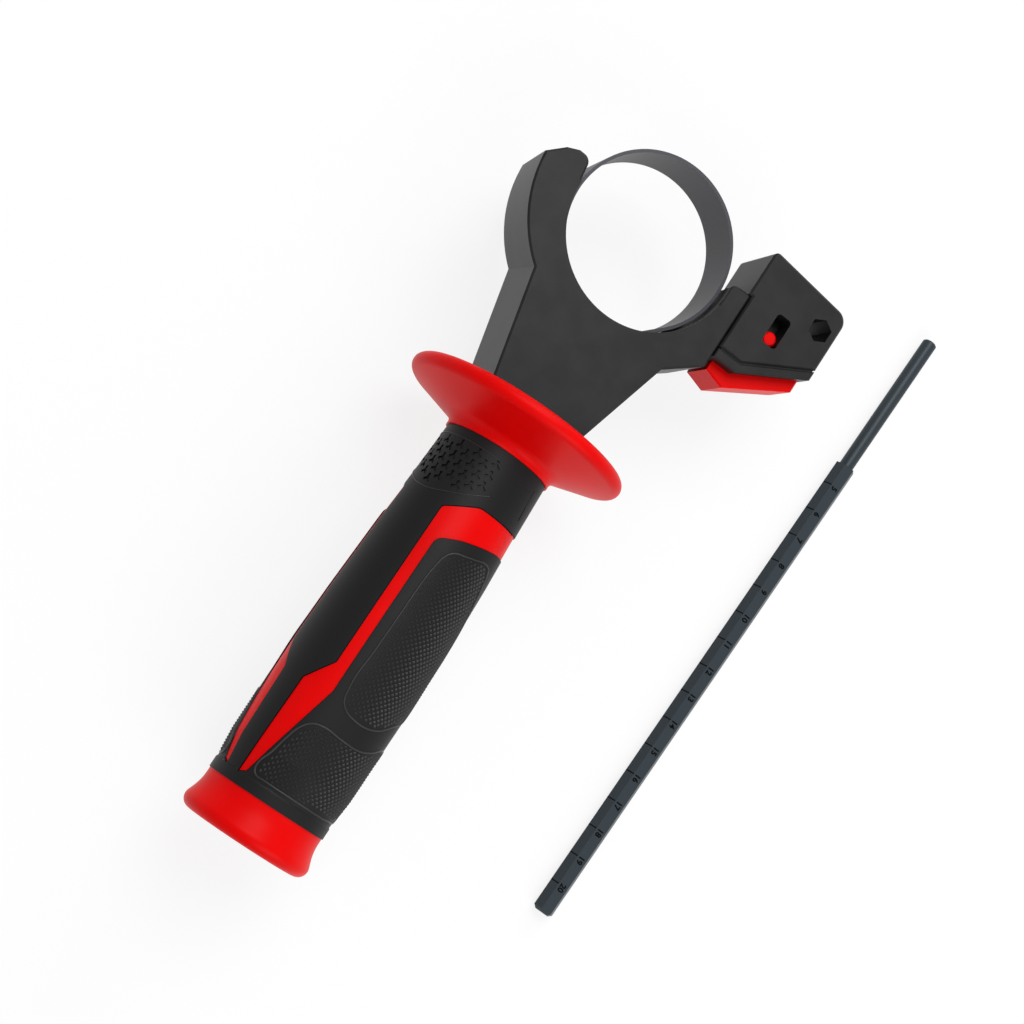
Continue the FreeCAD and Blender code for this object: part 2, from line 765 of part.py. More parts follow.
# The black sleeve moulded over the core, open where the inlays show
def grip_sleeve():
    stock = turned("sleeve_stock", grip_profile("sleeve_profile", "0", "core_radius"))
    cuts = doc.addObject("Part::MultiFuse", "sleeve_cuts")
    cuts.Shapes = window_forms("window", None)
    sleeve = doc.addObject("Part::Cut", "grip_sleeve")
    sleeve.Base = stock
    sleeve.Tool = cuts
    sleeve.Label = "grip_sleeve"
    pieces.append(sleeve)
    return sleeve


def end_cap():
    body = new_body("end_cap")
    profile = outline(sketch_in(body, "cap_profile"), [
        ("cap_spigot_radius - cap_wall", "-grip_end + cap_spigot_length"),
        ("cap_spigot_radius", "-grip_end + cap_spigot_length"),
        ("cap_spigot_radius", "-grip_end"),
        ("cap_top_radius", "-grip_end"),
        *banded_round("cap_rim_radius - cap_rim_round", "-cap_rim_depth", "cap_rim_round", 15, -90, 3),
        ("cap_rim_radius - cap_rim_round - cap_ledge", "-cap_end"),
        ("cap_rim_radius - cap_rim_round - cap_ledge", "-cap_end + cap_dish"),
        ("0", "-cap_end + cap_dish"),
        ("0", "-cap_end + cap_dish + cap_wall"),
        ("cap_spigot_radius - cap_wall", "-cap_end + cap_dish + cap_wall"),
    ])
    turn_about(body, profile)
    return body


def seam_line(offset):
    """Three points of a line below the seam: arm side, kink and block end."""
    rise = "(block_width - block_kink) * tan(block_slope)"
    return [
        ("block_side", "-seam_drop - (%s)" % offset),
        ("right_reach + block_kink", "-seam_drop - (%s)" % offset),
        ("block_end", "-seam_drop - (%s) + %s" % (offset, rise)),
    ]


# The gauge block's housing, which slides on the arm's dovetail
def gauge_housing():
    body = new_body("gauge_housing")
    low_left, low_kink, low_right = seam_line("0")
    form = outline(sketch_in(body, "housing_outline"), [
        low_left,
        low_kink,
        low_right,
        ("block_end", "block_top_right", "round", "block_corner_round"),
        ("right_reach - block_lip", "block_top_left", "round", "block_apex_round"),
        ("right_reach - block_lip", "right_tip + block_lip_gap"),
        ("block_side", "right_tip + block_lip_gap"),
    ])
    shift_sketch(form, "block_centre")
    stock = pad(body, form, "block_depth")
    doc.recompute()
    dress(body, "Chamfer", stock, block_rims(stock.Shape, "block_depth"), "edge_round")
    doc.recompute()
    # The well that takes the button's foot when it is pressed
    well = outline(sketch_in(body, "button_well"), [
        ("well_left", "-seam_drop - 2"),
        ("right_reach + block_kink", "-seam_drop - 2"),
        ("well_right", "-seam_drop - 2 + (well_right - right_reach - block_kink) * tan(block_slope)"),
        ("well_right", "well_roof + (well_right - right_reach - block_kink) * tan(block_slope)"),
        ("right_reach + block_kink", "well_roof"),
        ("well_left", "well_roof"),
    ])
    shift_sketch(well, "block_centre")
    pocket(body, well, "button_depth + 2 * button_clearance")
    # The shaft for the button's web, and the pawl's way from it to the rod
    shaft = rectangle(sketch_in(body, "web_shaft"), "right_reach + web_left - web_clearance", "well_roof - 1",
                      "right_reach + web_right + ramp_ratio * (web_top - pawl_bottom) + web_clearance",
                      "web_ceiling")
    shift_sketch(shaft, "block_centre")
    pocket(body, shaft, "web_depth + 2 * web_clearance")
    way = rectangle(sketch_in(body, "pawl_way"), "right_reach + web_right", "pawl_bottom - pawl_gap",
                    "right_reach + hex_reach", "pawl_bottom + pawl_height + pawl_gap")
    shift_sketch(way, "block_centre")
    pocket(body, way, "pawl_depth + 2 * pawl_gap")
    bore = hexagon(sketch_in(body, "hex_bore"), "hex_across", "right_reach + hex_reach", "hex_height")
    pocket(body, bore, "head_depth + 2")
    slot = outline(sketch_in(body, "peg_slot"), [
        ("peg_centre - slot_width / 2", "-slot_drop", "round", "slot_round"),
        ("peg_centre + slot_width / 2", "-slot_drop", "round", "slot_round"),
        ("peg_centre + slot_width / 2", "slot_top", "round", "slot_round"),
        ("peg_centre - slot_width / 2", "slot_top", "round", "slot_round"),
    ])
    pocket(body, slot, "head_depth", midplane=False, reverse=True)
    groove = outline(sketch_in(body, "dovetail_groove"), [
        ("right_reach - 1", "-tongue_drop - tongue_root / 2 - tongue_clearance"),
        ("right_reach", "-tongue_drop - tongue_root / 2 - tongue_clearance"),
        ("right_reach + tongue_height + tongue_clearance", "-tongue_drop - tongue_tip / 2 - tongue_clearance"),
        ("right_reach + tongue_height + tongue_clearance", "-tongue_drop + tongue_tip / 2 + tongue_clearance"),
        ("right_reach", "-tongue_drop + tongue_root / 2 + tongue_clearance"),
        ("right_reach - 1", "-tongue_drop + tongue_root / 2 + tongue_clearance"),
    ])
    shift_sketch(groove, "head_depth / 2 - block_depth - 1")
    pocket(body, groove, "block_depth - tongue_stop + 1 + tongue_clearance", midplane=False, reverse=True)
    return body


def block_rims(shape, depth):
    """The edges round the front and back of a form of this depth in the block."""
    half, centre = value(depth) / 2, value("block_centre")
    return edges_where(shape, lambda p, e: abs(abs(p.z - centre) - half) < 0.01)


# The skirt below the seam, open for the button's foot, with an inner lip that closes the seam's groove
def gauge_cover():
    body = new_body("gauge_cover")
    top_left, top_kink, top_right = seam_line("seam_gap")
    low_left, low_kink, low_right = seam_line("skirt_height")
    form = outline(sketch_in(body, "cover_outline"), [top_left, low_left, low_kink, low_right, top_right, top_kink])
    shift_sketch(form, "block_centre")
    stock = pad(body, form, "block_depth")
    doc.recompute()
    dress(body, "Chamfer", stock, block_rims(stock.Shape, "block_depth"), "skirt_edge")
    seam_left, seam_kink, seam_right = seam_line("0")
    drop = "(end_wall / 2) * tan(block_slope)"
    lip = outline(sketch_in(body, "cover_lip"), [
        ("block_side + seam_inset", seam_left[1]),
        ("block_side + seam_inset", seam_left[1] + " - 2 * seam_gap"),
        (seam_kink[0], seam_kink[1] + " - 2 * seam_gap"),
        ("block_end - end_wall / 2", seam_right[1] + " - 2 * seam_gap - " + drop),
        ("block_end - end_wall / 2", seam_right[1] + " - " + drop),
        seam_kink,
    ])
    shift_sketch(lip, "block_centre")
    pad(body, lip, "block_depth - 2 * seam_inset")
    mouth = rectangle(sketch_in(body, "cover_mouth", "XZ_Plane"),
                      "well_left", "block_centre - button_depth / 2 - button_clearance",
                      "well_right", "block_centre + button_depth / 2 + button_clearance")
    pocket(body, mouth, "2 * foot_depth")
    return body


# The lock button: a foot to press, a web with the peg on it, and a ramp for the pawl
def lock_button():
    body = new_body("lock_button")
    rise = "(button_right - right_reach - %s) * tan(%s)"
    foot = outline(sketch_in(body, "button_foot_outline"), [
        ("right_reach + button_left", "-seam_drop - button_top_gap"),
        ("right_reach + button_left", "-seam_drop - button_foot"),
        ("right_reach + button_kink", "-seam_drop - button_kink_drop"),
        ("button_right", "-seam_drop - button_kink_drop + " + rise % ("button_kink", "button_slope")),
        ("button_right", "-seam_drop - button_top_gap + " + rise % ("block_kink", "block_slope")),
        ("right_reach + block_kink", "-seam_drop - button_top_gap"),
    ])
    shift_sketch(foot, "block_centre")
    stock = pad(body, foot, "button_depth")
    doc.recompute()
    lowest = value("-seam_drop - skirt_height")
    half, centre = value("button_depth") / 2, value("block_centre")
    rims = edges_where(stock.Shape, lambda p, e: abs(abs(p.z - centre) - half) < 0.01
                       and (p.y < lowest or p.x > value("button_right") - 0.01))
    dress(body, "Chamfer", stock, rims, "button_round")
    web = outline(sketch_in(body, "button_web"), [
        ("right_reach + web_left", "-seam_drop - button_top_gap - 1"),
        ("right_reach + web_right + ramp_ratio * (-seam_drop / 2 - pawl_bottom)", "-seam_drop / 2"),
        ("right_reach + web_right + ramp_ratio * (web_top - pawl_bottom)", "web_top"),
        ("right_reach + web_left", "web_top"),
    ])
    shift_sketch(web, "block_centre")
    pad(body, web, "web_depth")
    well = circle(sketch_in(body, "spring_well", "XZ_Plane"), "right_reach + spring_reach", "block_centre",
                  "spring_bore")
    shift_sketch(well, "-web_top - 1")
    pocket(body, well, "web_top + 1 - spring_seat", midplane=False, reverse=True)
    peg = circle(sketch_in(body, "peg"), "peg_centre", "-peg_drop", "peg_radius")
    shift_sketch(peg, "block_centre")
    post = pad(body, peg, "block_depth / 2 - peg_recess", midplane=False)
    doc.recompute()
    face = value("block_centre + block_depth / 2 - peg_recess")
    tip = edges_where(post.Shape, lambda p, e: abs(p.z - face) < 0.01)
    dress(body, "Chamfer", post, tip, "button_round")
    return body


# The pawl: a steel wedge that the ramp holds against the rod
def lock_pawl():
    body = new_body("lock_pawl")
    wedge = outline(sketch_in(body, "pawl_outline"), [
        ("right_reach + web_right + pawl_gap", "pawl_bottom"),
        ("right_reach + hex_reach - hex_across / 2 + pawl_reach", "pawl_bottom"),
        ("right_reach + hex_reach - hex_across / 2 + pawl_reach", "pawl_bottom + pawl_height"),
        ("right_reach + web_right + pawl_gap + ramp_ratio * pawl_height", "pawl_bottom + pawl_height"),
    ])
    shift_sketch(wedge, "block_centre")
    pad(body, wedge, "pawl_depth")
    return body


def depth_rod():
    body = new_body("depth_rod")
    flats = hexagon(sketch_in(body, "rod_flats", "XZ_Plane"), "rod_across", point_up=False)
    shaft = pad(body, flats, "rod_length - rod_tip_length", midplane=False, reverse=True)
    doc.recompute()
    ends = edges_where(shaft.Shape, lambda p, e: abs(p.y) < 0.01)
    dress(body, "Chamfer", shaft, ends, "rod_chamfer")
    thin = circle(sketch_in(body, "rod_tip", "XZ_Plane"), "0", "0", "rod_tip_radius")
    shift_sketch(thin, "-(rod_length - rod_tip_length) + 1")
    tip = pad(body, thin, "rod_tip_length + 1", midplane=False, reverse=True)
    doc.recompute()
    end = value("rod_length")
    rim = edges_where(tip.Shape, lambda p, e: abs(p.y - end) < 0.01)
    dress(body, "Chamfer", tip, rim, "rod_tip_radius / 5")
    body.Placement = FreeCAD.Placement(vector(), FreeCAD.Rotation(vector(0, 0, 1), 1))
    body.setExpression(".Placement.Base.x", bound("block_end + rod_aside"))
    body.setExpression(".Placement.Base.y", bound("-grip_end + rod_short_of_grip"))
    body.setExpression(".Placement.Base.z", bound("-flange_radius + rod_across / 2"))
    body.setExpression(".Placement.Rotation.Angle", bound("-rod_turn"))
    return body


clamp_head()
strap_band()
band_rivet()
draw_bolt()
ring("thrust_washer", "washer_radius", "bolt_radius + bolt_clearance", "foot_depth", "washer_thickness")
grip_core()
grip_sleeve()
grip_nut()
ring("nut_retainer", "nut_flats / sqrt(3) + running_gap", "bolt_radius + bolt_clearance",
     "nut_top + nut_height", "retainer_height")
end_cap()
gauge_housing()
gauge_cover()
lock_button()
lock_pawl()
depth_rod()
doc.recompute()

for thing in doc.Objects:
    if "Invalid" in thing.State or "Error" in thing.State:
        raise RuntimeError("%s did not build: %s" % (thing.Name, thing.State))
for piece in pieces:
    if piece.Shape.isNull() or not piece.Shape.isValid():
        raise RuntimeError("%s has no valid shape" % piece.Label)
for piece in pieces:
    piece.Shape.exportStep("parts/%s.step" % piece.Label)
    box = piece.Shape.BoundBox
    print("%-14s %d solid(s) %9.1f mm3  y %.1f to %.1f" % (
        piece.Label, len(piece.Shape.Solids), piece.Shape.Volume, box.YMin, box.YMax))
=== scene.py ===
import json
import math
import bpy
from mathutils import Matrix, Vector


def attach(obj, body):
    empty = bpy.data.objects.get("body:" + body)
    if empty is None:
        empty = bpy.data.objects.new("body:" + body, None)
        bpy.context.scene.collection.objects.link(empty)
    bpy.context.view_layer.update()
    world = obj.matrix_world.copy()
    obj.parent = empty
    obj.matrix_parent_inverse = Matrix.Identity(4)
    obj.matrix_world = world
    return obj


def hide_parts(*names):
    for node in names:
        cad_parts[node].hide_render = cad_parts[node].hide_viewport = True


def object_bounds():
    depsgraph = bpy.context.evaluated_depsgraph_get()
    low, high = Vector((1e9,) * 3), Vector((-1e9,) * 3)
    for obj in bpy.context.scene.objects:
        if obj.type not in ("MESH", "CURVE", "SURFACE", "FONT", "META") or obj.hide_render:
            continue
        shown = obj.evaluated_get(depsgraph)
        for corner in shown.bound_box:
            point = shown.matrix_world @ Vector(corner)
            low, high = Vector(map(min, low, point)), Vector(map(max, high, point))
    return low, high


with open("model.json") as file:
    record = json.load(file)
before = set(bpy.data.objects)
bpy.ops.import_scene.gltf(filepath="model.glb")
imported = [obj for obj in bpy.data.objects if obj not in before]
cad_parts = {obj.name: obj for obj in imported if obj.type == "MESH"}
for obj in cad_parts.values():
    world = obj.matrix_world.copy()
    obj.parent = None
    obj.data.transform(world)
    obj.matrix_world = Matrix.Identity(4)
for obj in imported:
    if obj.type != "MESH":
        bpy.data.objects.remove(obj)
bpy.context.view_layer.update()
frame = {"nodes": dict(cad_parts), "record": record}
nodes = frame["nodes"]
mm = 0.001


def srgb(hexColour):
    # a hex colour as Blender's linear one
    parts = [int(hexColour[i:i + 2], 16) / 255 for i in (1, 3, 5)]
    return [p / 12.92 if p <= 0.04045 else ((p + 0.055) / 1.055) ** 2.4 for p in parts] + [1.0]


def addNode(tree, kind, settings=None, links=None):
    # one shader node: settings are its properties or input values, links are its inputs' sources
    node = tree.nodes.new("ShaderNode" + kind)
    for name, setting in (settings or {}).items():
        if isinstance(name, str) and hasattr(node, name):
            setattr(node, name, setting)
        else:
            node.inputs[name].default_value = setting
    for name, source in (links or {}).items():
        tree.links.new(source, node.inputs[name])
    return node


def newMaterial(name):
    material = bpy.data.materials.new(name)
    material.use_nodes = True
    material.node_tree.nodes.clear()
    return material, material.node_tree


def finishMaterial(tree, shader):
    addNode(tree, "OutputMaterial", links={"Surface": shader.outputs[0]})


# the camera stands where the photograph was taken from, places in metres
cameraSet = {
    "place": (-129.5 * mm, -181.2 * mm, 554.9 * mm),
    "turn": (9.83, -14.172, 35.87),  # degrees, in the order ZYX
    "lens": 72.13,
    "sensor": 36.0,
}


def addCamera():
    turn = [math.radians(angle) for angle in cameraSet["turn"]]
    bpy.ops.object.camera_add(location=cameraSet["place"])
    camera = bpy.context.object
    camera.name = "photoCamera"
    camera.rotation_mode = "ZYX"
    camera.rotation_euler = turn
    camera.data.lens = cameraSet["lens"]
    camera.data.sensor_width = cameraSet["sensor"]
    camera.data.sensor_fit = "HORIZONTAL"
    camera.data.clip_start = 0.01
    bpy.context.scene.camera = camera


# floor, world and lamps
studio = {
    "floorSize": 6.0,
    "floorColour": "#f4f4f4",
    "floorGlow": 0.82,  # how much of the floor the camera sees as plain white
    "worldColour": "#ffffff",
    "worldStrength": 0.38,
    "floorDrop": 0.02 * mm,  # how far the floor lies below the lowest piece
    "aim": (0, -0.08, 0),    # where the lamps point
    # place in metres, watts, size in metres
    "lamps": {
        "keyLamp": ((-0.15, 0.45, 1.15), 9.0, 0.70),
        "fillLamp": ((0.60, -0.75, 0.75), 5.5, 0.80),
        "rimLamp": ((0.10, 0.95, 0.55), 3.0, 0.50),
    },
}


def seenRays(tree):
    # 1 for the rays that the camera, a gloss or a clear body sees the background by
    path = addNode(tree, "LightPath")
    looks = addNode(tree, "Math", {"operation": "MAXIMUM"},
                    {0: path.outputs["Is Camera Ray"], 1: path.outputs["Is Glossy Ray"]})
    return addNode(tree, "Math", {"operation": "MAXIMUM"},
                   {0: looks.outputs[0], 1: path.outputs["Is Transmission Ray"]})


def addStudio():
    scene = bpy.context.scene
    scene.view_settings.view_transform = "Standard"
    world = bpy.data.worlds.new("studioWorld")
    scene.world = world
    world.use_nodes = True
    tree = world.node_tree
    tree.nodes.clear()
    light = addNode(tree, "Background", {"Color": srgb(studio["worldColour"]),
                                         "Strength": studio["worldStrength"]})
    seen = addNode(tree, "Background", {"Color": srgb("#ffffff"), "Strength": 1.0})
    mixed = addNode(tree, "MixShader", links={0: seenRays(tree).outputs[0], 1: light.outputs[0],
                                              2: seen.outputs[0]})
    addNode(tree, "OutputWorld", links={"Surface": mixed.outputs[0]})

    bpy.ops.object.select_all(action="DESELECT")
    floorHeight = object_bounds()[0][2] - studio["floorDrop"]
    bpy.ops.mesh.primitive_plane_add(size=studio["floorSize"], location=(0, 0, floorHeight))
    floor = bpy.context.object
    floor.name = "floor"
    material, tree = newMaterial("paperSweep")
    paper = addNode(tree, "BsdfPrincipled", {"Base Color": srgb(studio["floorColour"]),
                                             "Roughness": 0.9, "Specular IOR Level": 0.0})
    white = addNode(tree, "Emission", {"Color": srgb("#ffffff"), "Strength": 1.0})
    share = addNode(tree, "Math", {"operation": "MULTIPLY", 1: studio["floorGlow"]},
                    {0: seenRays(tree).outputs[0]})
    mixed = addNode(tree, "MixShader", links={0: share.outputs[0], 1: paper.outputs[0],
                                              2: white.outputs[0]})
    finishMaterial(tree, mixed)
    floor.data.materials.append(material)

    for name, (place, watts, size) in studio["lamps"].items():
        bpy.ops.object.light_add(type="AREA", location=place)
        lamp = bpy.context.object
        lamp.name = name
        lamp.data.energy = watts
        lamp.data.size = size
        aim = Vector(studio["aim"]) - Vector(place)
        lamp.rotation_euler = aim.to_track_quat("-Z", "Y").to_euler()


# the finishes: nylon, rubber, steel and ink

def mouldGrain(tree, size, depth):
    # the spark-eroded grain of a steel mould, size and depth in mm; the real one is several
    # times finer, and this is coarse enough to show
    place = addNode(tree, "TexCoord")
    grain = addNode(tree, "TexNoise", {"Scale": 1 / (size * mm), "Detail": 3.0},
                    {"Vector": place.outputs["Object"]})
    return addNode(tree, "Bump", {"Strength": 1.0, "Distance": depth * mm},
                   {"Height": grain.outputs[0]})


def shadeDrift(tree, dark, light, size):
    # moulding drifts a little in shade over size mm
    place = addNode(tree, "TexCoord")
    cloud = addNode(tree, "TexNoise", {"Scale": 1 / (size * mm), "Detail": 2.0},
                    {"Vector": place.outputs["Object"]})
    ramp = addNode(tree, "ValToRGB", links={"Fac": cloud.outputs[0]})
    for stop, position, colour in zip(ramp.color_ramp.elements, (0.35, 0.65), (dark, light)):
        stop.position = position
        stop.color = srgb(colour)
    return ramp


def filledNylon(name):
    # glass-filled nylon, injection moulded: black, satin, with a fine even grain
    material, tree = newMaterial(name)
    bump = mouldGrain(tree, 0.45, 0.012)
    colour = shadeDrift(tree, "#090909", "#161617", 9.0)
    shader = addNode(tree, "BsdfPrincipled",
                     {"Roughness": 0.42, "IOR": 1.53, "Specular IOR Level": 0.20},
                     {"Normal": bump.outputs[0], "Base Color": colour.outputs[0]})
    finishMaterial(tree, shader)
    return material


def softGripRubber(name, colour="#08080a", roughness=0.50, gloss=0.18):
    # thermoplastic elastomer moulded over the core: deep black and dull
    material, tree = newMaterial(name)
    bump = mouldGrain(tree, 0.5, 0.016)
    shader = addNode(tree, "BsdfPrincipled",
                     {"Base Color": srgb(colour), "Roughness": roughness, "IOR": 1.50,
                      "Specular IOR Level": gloss},
                     {"Normal": bump.outputs[0]})
    finishMaterial(tree, shader)
    return material


def redNylon(name):
    # dyed nylon, moulded in a polished tool: full red with a soft gloss and hardly any grain
    material, tree = newMaterial(name)
    bump = mouldGrain(tree, 0.9, 0.003)
    colour = shadeDrift(tree, "#d80000", "#e20202", 20.0)
    shader = addNode(tree, "BsdfPrincipled",
                     {"Roughness": 0.40, "IOR": 1.50, "Specular IOR Level": 0.08},
                     {"Normal": bump.outputs[0], "Base Color": colour.outputs[0]})
    finishMaterial(tree, shader)
    return material


def drawnLines(tree, size, stretch, detail, strength, depth):
    # lines left by rolls or a die, size and depth in mm, and stretched along the run; real
    # ones are finer, and these are coarse enough to show
    place = addNode(tree, "TexCoord")
    stretched = addNode(tree, "Mapping", {"Scale": stretch}, {"Vector": place.outputs["Object"]})
    lines = addNode(tree, "TexNoise", {"Scale": 1 / (size * mm), "Detail": detail},
                    {"Vector": stretched.outputs[0]})
    return addNode(tree, "Bump", {"Strength": strength, "Distance": depth * mm},
                   {"Height": lines.outputs[0]})


def blackenedStrip(name):
    # cold-rolled steel strip, blackened: dark grey with fine rolling lines round the band
    material, tree = newMaterial(name)
    bump = drawnLines(tree, 0.5556, (1 / 30, 1 / 30, 1.0), 4.0, 0.5, 0.004)
    shader = addNode(tree, "BsdfPrincipled",
                     {"Base Color": srgb("#323237"), "Metallic": 0.5, "Roughness": 0.46},
                     {"Normal": bump.outputs[0]})
    finishMaterial(tree, shader)
    return material


def zincPlate(name):
    # zinc-plated steel: bright, with a cloudy bloom
    material, tree = newMaterial(name)
    colour = shadeDrift(tree, "#a9abad", "#c4c6c8", 3.0)
    shader = addNode(tree, "BsdfPrincipled", {"Metallic": 1.0, "Roughness": 0.32},
                     {"Base Color": colour.outputs[0]})
    finishMaterial(tree, shader)
    return material


def extrudedRod(name):
    # glass-filled nylon drawn to a hexagon: blue-black, with long faint draw lines
    material, tree = newMaterial(name)
    bump = drawnLines(tree, 0.5, (1.0, 0.03, 1.0), 3.0, 0.6, 0.008)
    shader = addNode(tree, "BsdfPrincipled",
                     {"Base Color": srgb("#263036"), "Roughness": 0.38, "IOR": 1.53,
                      "Specular IOR Level": 0.22},
                     {"Normal": bump.outputs[0]})
    finishMaterial(tree, shader)
    return material


def printInk(name):
    # pad-printed ink: flat black, almost without gloss
    material, tree = newMaterial(name)
    shader = addNode(tree, "BsdfPrincipled",
                     {"Base Color": srgb("#040506"), "Roughness": 0.7, "IOR": 1.45,
                      "Specular IOR Level": 0.05})
    finishMaterial(tree, shader)
    return material


def makeMaterials():
    return {
        "head_plastic": filledNylon("glassFilledNylonMoulded"),
        "band_steel": blackenedStrip("blackenedSteelStrip"),
        "bright_steel": zincPlate("zincPlatedSteel"),
        "red_plastic": redNylon("redNylonPolishMoulded"),
        "grip_rubber": softGripRubber("elastomerOvermoulded"),
        "rod_steel": extrudedRod("blackNylonExtruded"),
        "scaleInk": printInk("padPrintedInk"),
        "ridgeRubber": softGripRubber("elastomerWornEdges", "#151517", 0.38, 0.38),
    }


def setMaterial(obj, material):
    obj.data.materials.clear()
    obj.data.materials.append(material)


def dressNodes(materials):
    for row in frame["record"]["subparts"]:
        setMaterial(nodes[row["node"]], materials[row["material_slot"]])


# modelling steps that several pieces share

def only(piece):
    # deselects everything else and makes this piece the active one
    bpy.ops.object.select_all(action="DESELECT")
    piece.select_set(True)
    bpy.context.view_layer.objects.active = piece


def editAll(piece):
    only(piece)
    bpy.ops.object.mode_set(mode="EDIT")
    bpy.ops.mesh.select_all(action="SELECT")


def applyModifier(piece, name, kind, settings):
    modifier = piece.modifiers.new(name, kind)
    for key, setting in settings.items():
        setattr(modifier, key, setting)
    only(piece)
    bpy.ops.object.modifier_apply(modifier=name)


def joinAll(pieces, name):
    only(pieces[0])
    for piece in pieces:
        piece.select_set(True)
    if len(pieces) > 1:
        bpy.ops.object.join()
    pieces[0].name = name
    return pieces[0]


def finishPiece(piece, body, material):
    setMaterial(piece, material)
    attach(piece, body)


def mergedCopy(node, name):
    # a copy of a CAD node with its loose triangles merged into one skin
    piece = bpy.data.objects.new(name, nodes[node].data.copy())
    bpy.context.scene.collection.objects.link(piece)
    editAll(piece)
    bpy.ops.mesh.remove_doubles(threshold=0.003 * mm)
    bpy.ops.object.mode_set(mode="OBJECT")
    return piece


def spinForm(name, profile, steps, crease=32):
    # a profile of radius and height in mm, spun about the grip's axis; the crease is in degrees
    mesh = bpy.data.meshes.new(name)
    points = [(radius * mm, height * mm, 0) for radius, height in profile]
    mesh.from_pydata(points, [(i, i + 1) for i in range(len(points) - 1)], [])
    piece = bpy.data.objects.new(name, mesh)
    bpy.context.scene.collection.objects.link(piece)
    editAll(piece)
    bpy.ops.mesh.spin(steps=steps, angle=2 * math.pi, center=(0, 0, 0), axis=(0, 1, 0))
    bpy.ops.mesh.select_all(action="SELECT")
    bpy.ops.mesh.remove_doubles(threshold=0.002 * mm)
    bpy.ops.mesh.normals_make_consistent(inside=False)
    bpy.ops.object.mode_set(mode="OBJECT")
    bpy.ops.object.shade_smooth_by_angle(angle=math.radians(crease))
    return piece


def arcPoints(centreX, centreY, radius, first, last, steps):
    angles = [math.radians(first + (last - first) * i / steps) for i in range(steps + 1)]
    return [(centreX + radius * math.cos(a), centreY + radius * math.sin(a)) for a in angles]


# the flange, rounder than the frame's bands: radii and heights along the grip in mm
flangeForm = {
    "rim": 34.9,
    "rimRound": 2.4,
    "rimHeight": -64.58,
    "dish": (20.0, -63.36),
    "dishEdge": (29.1, -63.34),
    "neck": 16.93,
    "neckHeight": -72.38,
    "neckBlend": 3.0,    # how far out on the skirt the curve into the neck starts
    "blendDrop": 0.6,    # how far below the neck's height it ends, as a share of neckBlend
    "blendLift": 0.02,   # the whole curve lies this much nearer to the head
    "skirtStart": (32.4, -67.02),
    "foot": -74.95,
    "rimSteps": 12,
    "blendSteps": 6,
    "steps": 120,
}


def addFlange(materials):
    rim, blend = flangeForm["rimRound"], flangeForm["neckBlend"]
    neck, height = flangeForm["neck"], flangeForm["neckHeight"]
    skirtX, skirtY = flangeForm["skirtStart"]
    slope = (skirtY - height) / (skirtX - neck)
    profile = [flangeForm["dish"], flangeForm["dishEdge"]]
    profile += arcPoints(flangeForm["rim"] - rim, flangeForm["rimHeight"], rim, 90, -80,
                         flangeForm["rimSteps"])
    startX, startY = neck + blend, height + blend * slope
    endY = height - blend * flangeForm["blendDrop"]
    for i in range(flangeForm["blendSteps"] + 1):
        # an easy curve from the skirt into the neck
        t = i / flangeForm["blendSteps"]
        first, middle, last = (1 - t) ** 2, 2 * t * (1 - t), t * t
        profile.append((first * startX + (middle + last) * neck,
                        first * startY + middle * height + last * endY
                        + flangeForm["blendLift"]))
    profile.append((neck, flangeForm["foot"]))
    piece = spinForm("flangeShell", profile, flangeForm["steps"])
    finishPiece(piece, "grip", materials["red_plastic"])


# the end cap, in the same way
capForm = {
    "top": (18.2, -190.28),
    "spigot": (9.1, -181.3),
    "bore": 7.1,
    "rim": 19.9,
    "rimRound": 3.0,
    "rimHeight": -199.68,
    "rimStart": 18.0,    # degrees above the rim's widest line where the flare meets it
    "flareSag": 0.55,    # how far the flare curves in
    "ledge": 1.6,
    "ledgeRound": 0.3,
    "dish": 0.8,
    "floor": 2.0,
    "flareSteps": 9,
    "rimSteps": 14,
    "ledgeSteps": 3,
    "steps": 120,
}


def addCap(materials):
    topX, topY = capForm["top"]
    centreX = capForm["rim"] - capForm["rimRound"]
    rim = arcPoints(centreX, capForm["rimHeight"], capForm["rimRound"], capForm["rimStart"], -90,
                    capForm["rimSteps"])
    endX, endY = rim[0]
    flare = []
    for i in range(capForm["flareSteps"]):
        t = i / capForm["flareSteps"]
        sag = capForm["flareSag"] * math.sin(math.pi * t)
        flare.append((topX + (endX - topX) * t - sag, topY + (endY - topY) * t))
    low = capForm["rimHeight"] - capForm["rimRound"]
    edge = centreX - capForm["ledge"]
    small = capForm["ledgeRound"]
    dish = low + capForm["dish"]
    spigotX, spigotY = capForm["spigot"]
    bore = capForm["bore"]
    profile = [(bore, dish + capForm["floor"]), (bore, spigotY), (spigotX, spigotY),
               (spigotX, topY)]
    profile += flare + rim
    profile += arcPoints(edge + small, low + small, small, -90, -180, capForm["ledgeSteps"])
    profile += [(edge, dish), (0, dish)]
    piece = spinForm("capTurned", profile, capForm["steps"])
    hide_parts("end_cap")
    finishPiece(piece, "grip", materials["red_plastic"])


# the grip's patterns are drawn flat and then wrapped onto the sleeve
gripForm = {
    # distance below the ring's centre and radius of the sleeve there, in mm
    "line": [(-190.3, 18.5), (-187.1, 18.5), (-186.5, 18.2), (-178.0, 19.0), (-147.0, 19.3),
             (-131.0, 19.0), (-108.0, 18.1), (-93.0, 17.2), (-75.0, 16.4)],
    "palmAngle": -59.0,  # the middle between the two inlays, in degrees from +Z towards +X
    "flatRadius": 18.5,  # mm of width drawn for each radian
    "crease": 25,        # degrees past which an edge of the cut sleeve stays sharp
    "outerFace": 0.93,   # a face that looks outwards at least this much belongs to the turned form
}


def sleeveRadius(height):
    line = gripForm["line"]
    for (lowY, lowR), (highY, highR) in zip(line, line[1:]):
        if height <= highY:
            return lowR + (highR - lowR) * (height - lowY) / (highY - lowY)
    return line[-1][1]


